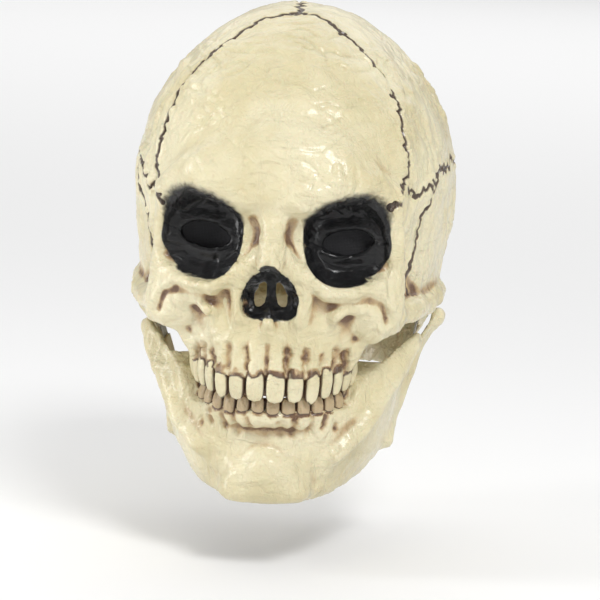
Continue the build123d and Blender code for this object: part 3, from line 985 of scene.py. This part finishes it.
points = paint_skin(cranium_skin.data, upper_gap, upper_teeth, UPPER_BACKING)
ragged = np.array([noise.noise(Vector(point) * 0.35) + 0.6 * noise.noise(Vector(point) * 1.1) for point in points])
above = step(points[:, 2], 26, 42)
socket_gap = shape_distance([SOCKET_EGG, SOCKET_DEEP], points) + ragged * (0.12 + above * 1.2)
in_socket = 1 - step(socket_gap, 0.3 - above, 1.5 + above * 8.5)
pear = shape_distance([*NOSE_CUTS, egg((0, -108, -4.5), (13.0, 9.5, 13.0))], points)
in_nose = 1 - step(pear + ragged * 0.4, 0.2, 1.4)
holes = 1 - step(shape_distance([EYE_HOLE, NOSTRIL], points), 0.3, 1.6)
black = np.maximum.reduce([in_socket, in_nose, holes * (points[:, 1] < -80)])
paint(cranium_skin.data, "black", black)
paint(cranium_skin.data, "seam", np.exp(-(suture_gap / 1.25) ** 2) * (1.05 + 0.25 * ragged))
print("painted points", len(points), "black", int((black > 0.5).sum()))
paint_skin(jaw_skin.data, lower_gap, lower_teeth, LOWER_BACKING)
# The lower crowns are browned all over as painted shade, because they sit in shade under the upper crowns.
for piece, values, stains, skin, painted_shade in (
    (upper_teeth, upper_points, upper_stains, cranium_skin, 0.0),
    (lower_teeth, lower_points, lower_stains, jaw_skin, 1.0),
):
    tree, places = surface_tree(values), mesh_points(piece.data)
    marks = np.array([stains[tree.find(point)[1]] for point in places])
    paint(piece.data, "gum", np.maximum(marks, 1 - step(gap_to(skin, places), 0.15, 0.95)))
    paint(piece.data, "painted_shade", np.full(len(places), painted_shade))

# %% [markdown]
# Materials. A small helper keeps the node wiring short.

# %% A recipe for a node material
class Recipe:
    """A node material under construction."""

    def __init__(self, name):
        self.material = bpy.data.materials.new(name)
        self.material.use_nodes = True
        self.nodes, self.links = self.material.node_tree.nodes, self.material.node_tree.links
        self.shader = self.nodes["Principled BSDF"]

    def node(self, kind, settings=None, **inputs):
        """Add a node. Inputs are numbers, colours or other nodes' outputs, with _ for a space in a name."""
        node = self.nodes.new("ShaderNode" + kind)
        for key, value in (settings or {}).items():
            setattr(node, key, value)
        for key, value in inputs.items():
            self.put(node.inputs[int(key[1:]) if key[1:].isdigit() else key.replace("_", " ")], value)
        return node

    def put(self, socket, value):
        """Set or link one socket."""
        if isinstance(value, bpy.types.NodeSocket):
            self.links.new(value, socket)
        else:
            socket.default_value = value

    def finish(self, **inputs):
        """Set the shader's sockets."""
        for key, value in inputs.items():
            self.put(self.shader.inputs[key.replace("_", " ")], value)
        return self.material

    def value(self, name):
        """A number that was kept on the mesh."""
        return self.node("Attribute", {"attribute_name": name}).outputs["Fac"]

    def slope(self, value, low, high, to_low=0.0, to_high=1.0):
        """A smooth step between two values."""
        settings = {"interpolation_type": "SMOOTHSTEP"}
        return self.node("MapRange", settings, i0=value, i1=low, i2=high, i3=to_low, i4=to_high).outputs[0]

    def math(self, how, first, second=0.0):
        """Arithmetic on two numbers."""
        return self.node("Math", {"operation": how, "use_clamp": False}, i0=first, i1=second).outputs[0]

    def mix(self, factor, first, second):
        """One colour over another."""
        return self.node("Mix", {"data_type": "RGBA"}, i0=factor, i6=first, i7=second).outputs[2]

    def noise(self, scale, detail=4.0, stretch=(1, 1, 1), rough=0.5, distortion=0.0):
        """Noise in the object's own space, stretched."""
        place = self.node("TexCoord").outputs["Object"]
        place = self.node("Mapping", None, Vector=place, Scale=stretch).outputs[0]
        return self.node(
            "TexNoise", None, Vector=place, Scale=scale, Detail=detail, Roughness=rough, Distortion=distortion
        ).outputs["Fac"]


# %% [markdown]
# The latex is tinted cream before casting, so its colour hardly varies. The brown wash is thin paint
# wiped back, which stays in hollows and breaks up where it was rubbed. Over it all is a clear gloss coat.

# %% Painted latex
def painted_latex():
    """Cream latex with brown wash in its hollows, painted shade on the lower crowns and behind the crowns, and black
    gloss paint in the sockets and nose.
    """
    recipe = Recipe("painted_latex")
    cream = recipe.mix(recipe.slope(recipe.noise(22, 5), 0.35, 0.65), (0.68, 0.60, 0.36, 1), (0.78, 0.71, 0.48, 1))
    # Painted shade: the lower crowns are browned all over, as they sit in shade under the upper ones.
    cream = recipe.mix(recipe.math("MULTIPLY", recipe.value("painted_shade"), 0.75), cream, (0.42, 0.28, 0.14, 1))
    patches = recipe.slope(recipe.noise(60, 6, rough=0.65), 0.42, 0.62)
    wash = recipe.math("ADD", recipe.slope(recipe.value("hollow"), 0.012, 0.11),
                       recipe.math("MULTIPLY", recipe.slope(recipe.value("broad_hollow"), 0.015, 0.12), 0.6))
    # This adds the brown wash of the root lines and gum line, and the painted shade behind the crowns.
    wash = recipe.math("ADD", wash, recipe.math("MULTIPLY", recipe.value("wash_and_shade"), 1.1))
    wash = recipe.math("MULTIPLY", wash, recipe.math("ADD", 0.45, recipe.math("MULTIPLY", patches, 0.5)))
    tan = recipe.mix(recipe.slope(wash, 0.0, 0.40, 0.0, 0.80), cream, (0.45, 0.29, 0.13, 1))
    brown = recipe.mix(recipe.slope(wash, 0.28, 0.85, 0.0, 0.92), tan, (0.13, 0.060, 0.028, 1))
    gum = recipe.slope(recipe.value("gum"), 0.3, 0.85, 0.0, 0.95)
    brown = recipe.mix(gum, brown, (0.075, 0.033, 0.016, 1))
    scratch = recipe.slope(recipe.value("seam"), 0.18, 0.55, 0.0, 0.95)
    colour = recipe.mix(scratch, brown, (0.055, 0.026, 0.016, 1))
    black = recipe.slope(recipe.value("black"), 0.1, 0.85)
    colour = recipe.mix(black, colour, (0.010, 0.010, 0.011, 1))
    level = recipe.noise(85, 5, (0.6, 0.6, 1.4), 0.55, 0.8)
    upright = recipe.noise(95, 5, (1.0, 1.5, 0.4), 0.55, 0.8)
    pores = recipe.noise(900, 3)
    brushed = recipe.noise(260, 4, (1, 1, 1.6), 0.6, 2.0)
    creases = recipe.math("ADD", recipe.math("MULTIPLY", level, 0.8), recipe.math("MULTIPLY", upright, 1.0))
    creases = recipe.math("ADD", creases, recipe.math("MULTIPLY", pores, 0.12))
    creases = recipe.math("ADD", creases, recipe.math("MULTIPLY", recipe.math("MULTIPLY", brushed, black), 1.1))
    bump = recipe.node("Bump", None, Strength=0.95, Distance=0.0034, Height=creases).outputs[0]
    dull = recipe.slope(recipe.noise(45, 5), 0.35, 0.7, 0.30, 0.46)
    rough = recipe.node("Mix", None, i0=black, i2=dull, i3=0.15).outputs[0]
    return recipe.finish(
        Base_Color=colour, Roughness=rough, Normal=bump, IOR=1.5, Coat_Weight=0.45, Coat_Roughness=0.16,
        Subsurface_Weight=0.06, Subsurface_Scale=0.004,
    )


latex = painted_latex()
for piece, body in ((cranium_skin, "cranium"), (jaw_skin, "jaw"), (upper_teeth, "cranium"), (lower_teeth, "jaw")):
    piece.data.materials.append(latex)
    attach(piece, body)
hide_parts("cranium_shell")
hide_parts("jaw_shell")
print("painted", len(latex.node_tree.nodes), "nodes")

# %% [markdown]
# The pieces inside are plainer. Gauze is black threads crossed at right angles, which only shows close
# up. Elastic is white, with painted shadow where the ribs meet. The patches are bare latex, with brush marks
# from the glue, and the foam is full of small pores, with painted shade down in them.

# %% The other materials
def woven_gauze():
    """Black threads over and under each other."""
    recipe = Recipe("woven_gauze")
    place = recipe.node("TexCoord").outputs["Object"]
    settings = {"wave_type": "BANDS", "wave_profile": "SIN"}
    threads = [
        recipe.node("TexWave", {**settings, "bands_direction": way}, Vector=place, Scale=420, Distortion=0.6)
        for way in ("X", "Z")
    ]
    height = recipe.math("MAXIMUM", threads[0].outputs["Fac"], threads[1].outputs["Fac"])
    colour = recipe.mix(recipe.slope(height, 0.3, 0.9), (0.003, 0.003, 0.004, 1), (0.026, 0.026, 0.029, 1))
    bump = recipe.node("Bump", None, Strength=0.8, Distance=0.0003, Height=height).outputs[0]
    return recipe.finish(Base_Color=colour, Roughness=0.75, Normal=bump, Sheen_Weight=0.2)


def ribbed_elastic():
    """White knitted elastic with a shadow between its ribs."""
    recipe = Recipe("ribbed_elastic")
    place = recipe.node("TexCoord").outputs["Object"]
    knit = recipe.node("TexWave", {"bands_direction": "Z"}, Vector=place, Scale=380, Distortion=1.5).outputs["Fac"]
    cords = recipe.node("TexWave", {"bands_direction": "Y"}, Vector=place, Scale=160, Distortion=0.3).outputs["Fac"]
    soiled = recipe.slope(recipe.noise(70, 5), 0.4, 0.75, 0, 0.5)
    # Painted shadow: the elastic is darker between its ribs.
    colour = recipe.mix(recipe.slope(cords, 0.1, 0.6), (0.42, 0.40, 0.36, 1), (0.74, 0.73, 0.69, 1))
    colour = recipe.mix(soiled, colour, (0.52, 0.46, 0.36, 1))
    bump = recipe.node("Bump", None, Strength=0.6, Distance=0.0003, Height=knit).outputs[0]
    return recipe.finish(Base_Color=colour, Roughness=0.85, Normal=bump, Sheen_Weight=0.25)


def bare_latex():
    """Amber latex that was brushed on, with no paint."""
    recipe = Recipe("bare_latex")
    cloudy = recipe.slope(recipe.noise(120, 5), 0.3, 0.7)
    colour = recipe.mix(cloudy, (0.60, 0.47, 0.25, 1), (0.71, 0.60, 0.37, 1))
    strokes = recipe.noise(260, 4, (1, 3, 0.4))
    bump = recipe.node("Bump", None, Strength=0.6, Distance=0.0006, Height=strokes).outputs[0]
    rough = recipe.slope(strokes, 0.3, 0.7, 0.35, 0.6)
    return recipe.finish(Base_Color=colour, Roughness=rough, Normal=bump, Subsurface_Weight=0.1, Subsurface_Scale=0.002)


def open_foam():
    """Grey foam with pores, with painted shade down in each pore."""
    recipe = Recipe("open_foam")
    place = recipe.node("TexCoord").outputs["Object"]
    pores = recipe.node("TexVoronoi", None, Vector=place, Scale=900).outputs["Distance"]
    big = recipe.node("TexVoronoi", None, Vector=place, Scale=320).outputs["Distance"]
    depth = recipe.math("ADD", recipe.slope(pores, 0.0, 0.5), recipe.math("MULTIPLY", recipe.slope(big, 0.0, 0.3), 0.6))
    # Painted shade: the colour is darker down in the pores, where the bump is low.
    colour = recipe.mix(recipe.slope(depth, 0.2, 1.3), (0.07, 0.07, 0.075, 1), (0.23, 0.23, 0.24, 1))
    bump = recipe.node("Bump", None, Strength=0.9, Distance=0.0006, Height=depth).outputs[0]
    return recipe.finish(Base_Color=colour, Roughness=0.95, Normal=bump)


def dress(piece, material, node, body=None):
    """Give a piece its material, slot and body, in place of a CAD node."""
    piece.data.materials.append(material)
    if body:
        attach(piece, body)
    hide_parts(node)


gauze, elastic, bare, foam = woven_gauze(), ribbed_elastic(), bare_latex(), open_foam()
for side in ("left", "right"):
    dress(gauzes[side], gauze, f"eye_mesh_{side}", "cranium")
    dress(patches["upper", side], bare, f"strap_patch_upper_{side}", "cranium")
    dress(patches["lower", side], bare, f"strap_patch_lower_{side}", "jaw")
    dress(straps[side], elastic, f"hinge_strap_{side}")
    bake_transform(straps[side])
dress(chin_foam, foam, "chin_pad", "jaw")

# %% [markdown]
# A studio set: one broad light above and to the right, and a narrow tall light at the
# left whose reflection runs down the glossy side of the head. A long lens keeps the face from bulging.

# %% Camera and lights
AZIMUTH, ELEVATION, ROLL, DISTANCE = 4.8, 8.5, 2.7, 1.5
FRAME_WIDTH = 0.320


def aim_camera():
    """A long lens in front of the face, a little to its left and above."""
    a, e = math.radians(AZIMUTH), math.radians(ELEVATION)
    towards = Vector((math.sin(a) * math.cos(e), -math.cos(a) * math.cos(e), math.sin(e)))
    turned = towards.to_track_quat("Z", "Y") @ Euler((0, 0, math.radians(ROLL))).to_quaternion()
    data = bpy.data.cameras.new("camera")
    data.sensor_width = 36
    data.lens = 36 * DISTANCE / FRAME_WIDTH
    camera = bpy.data.objects.new("camera", data)
    camera.rotation_euler = turned.to_euler()
    target = turned @ Vector((0.0047, -0.0225, 0))
    camera.location = target + towards * DISTANCE
    bpy.context.collection.objects.link(camera)
    bpy.context.scene.camera = camera


aim_camera()


def soft_light(name, place, target, size, power, colour=(1, 1, 1)):
    """An area light that faces a target."""
    data = bpy.data.lights.new(name, "AREA")
    data.shape, data.size, data.size_y, data.energy, data.color = "RECTANGLE", *size, power, colour
    light = bpy.data.objects.new(name, data)
    light.location = place
    light.rotation_euler = (Vector(place) - Vector(target)).to_track_quat("Z", "Y").to_euler()
    bpy.context.collection.objects.link(light)


soft_light("key", (0.55, -1.0, 1.15), (0, 0, 0.02), (0.45, 0.45), 13)
soft_light("left_strip", (-1.1, -0.35, 0.25), (0, 0, 0.02), (0.25, 1.2), 8)
soft_light("right_fill", (0.9, -1.1, 0.05), (0, 0, 0), (0.25, 0.9), 2.5)
soft_light("floor_wash", (0, 5, 3), (0, 5, 0), (8, 8), 190)
world = bpy.data.worlds.new("studio")
world.use_nodes = True
world.node_tree.nodes["Background"].inputs[0].default_value = (1, 1, 1, 1)
world.node_tree.nodes["Background"].inputs[1].default_value = 0.42
bpy.context.scene.world = world
bpy.context.scene.view_settings.view_transform = "Standard"

# %% [markdown]
# One wide pale plane. The camera looks down a little, so the far edge is out of sight. A worn mask hangs
# on a head, and the floor is low enough for the jaw to drop without reaching it. The floor isn't part of
# the mask, so it is staged.

# %% Floor
JAW_DROP = 0.035
floor_z = cad_box[0][2] - JAW_DROP
floor_mesh = bpy.data.meshes.new("floor")
floor_mesh.from_pydata([(x, y, floor_z) for x, y in ((-20, -20), (20, -20), (20, 20), (-20, 20))], [], [(0, 1, 2, 3)])
floor = bpy.data.objects.new("floor", floor_mesh)
bpy.context.collection.objects.link(floor)
paper = Recipe("pale_floor")
floor_mesh.materials.append(paper.finish(Base_Color=(0.92, 0.92, 0.92, 1), Roughness=0.7))
print("floor at", round(floor_z, 4))
